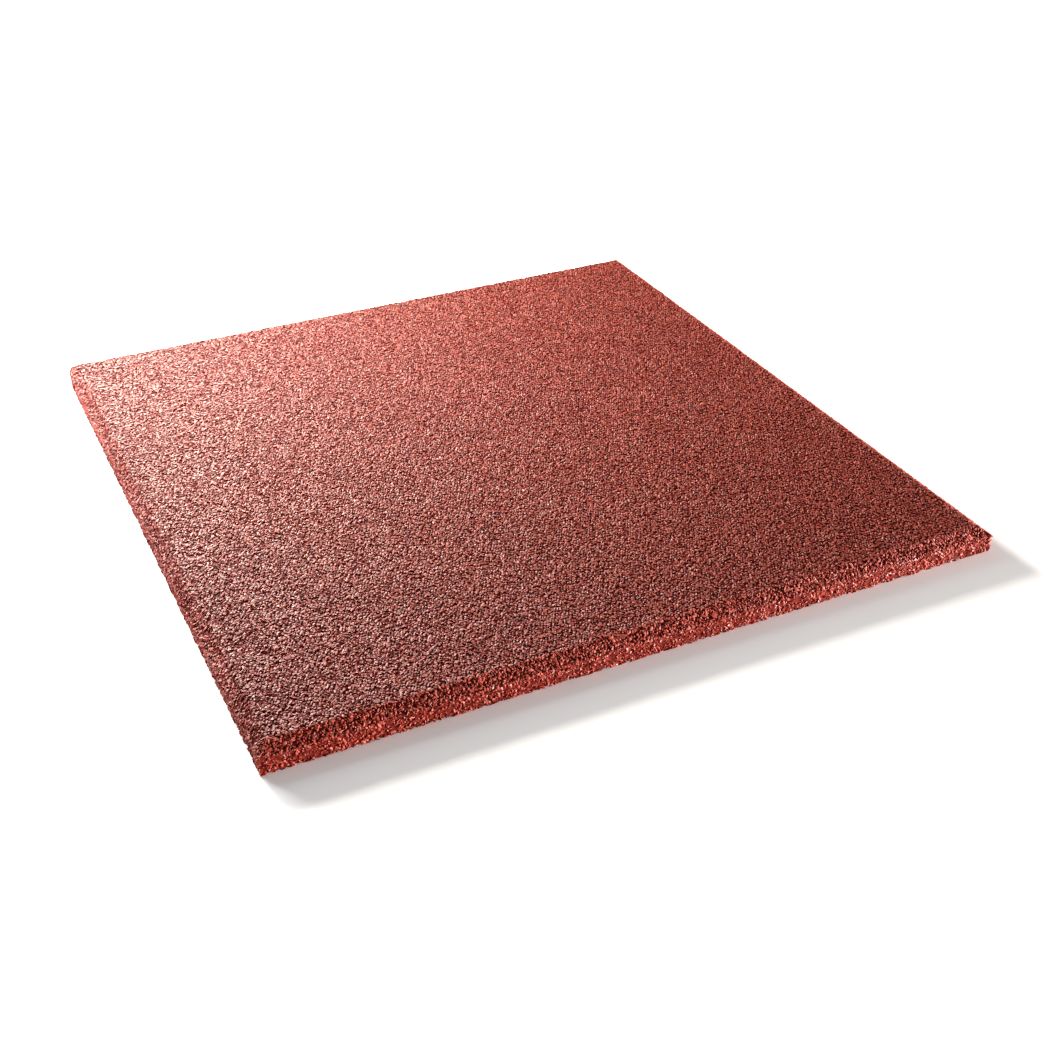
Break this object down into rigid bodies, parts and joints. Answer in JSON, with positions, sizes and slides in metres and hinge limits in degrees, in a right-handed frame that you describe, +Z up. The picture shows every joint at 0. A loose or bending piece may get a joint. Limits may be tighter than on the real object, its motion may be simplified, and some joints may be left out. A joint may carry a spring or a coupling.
{
  "type": "rubber floor tile",
  "caption": "Square slab of bonded rubber crumb with upright sides and a sloping chamfer round the edges of its top, for laying edge to edge as a cushioned floor.",
  "frame": {"origin": "middle of the flat underside", "axes": "+Z up out of the wearing face, through the tile's thickness; X and Y along the tile's sides"},
  "size_m": [0.5, 0.5, 0.018],
  "materials": {
    "rubber_crumb": "matt, rough bonded crumb with dark pores and small glossy glints"
  },
  "bodies": {
    "root": {"rubber_tile": "rubber_crumb"}
  },
  "joints": []
}
